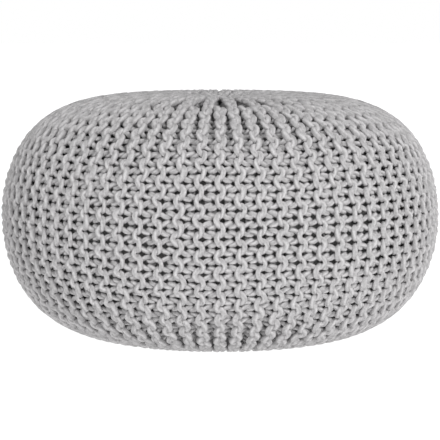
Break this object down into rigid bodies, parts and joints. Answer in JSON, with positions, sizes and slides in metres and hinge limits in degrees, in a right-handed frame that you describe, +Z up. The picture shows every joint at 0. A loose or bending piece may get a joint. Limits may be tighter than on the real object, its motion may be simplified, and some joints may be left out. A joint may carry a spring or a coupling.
{
  "type": "knitted pouf",
  "caption": "Low round floor pouf in chunky garter-stitch cotton cord, with a wide belly, a broad drawn-in crown and a flat resting base.",
  "frame": {"origin": "middle of the flat underside, on the floor", "axes": "+Z up through the middle of the crown; the pouf is round about Z, and -Y is the side that faces the viewer"},
  "size_m": [0.4998, 0.4998, 0.2717],
  "materials": {
    "knit": "matte light grey knitted cotton cord"
  },
  "bodies": {
    "root": {"knitted_body": "knit"}
  },
  "joints": []
}
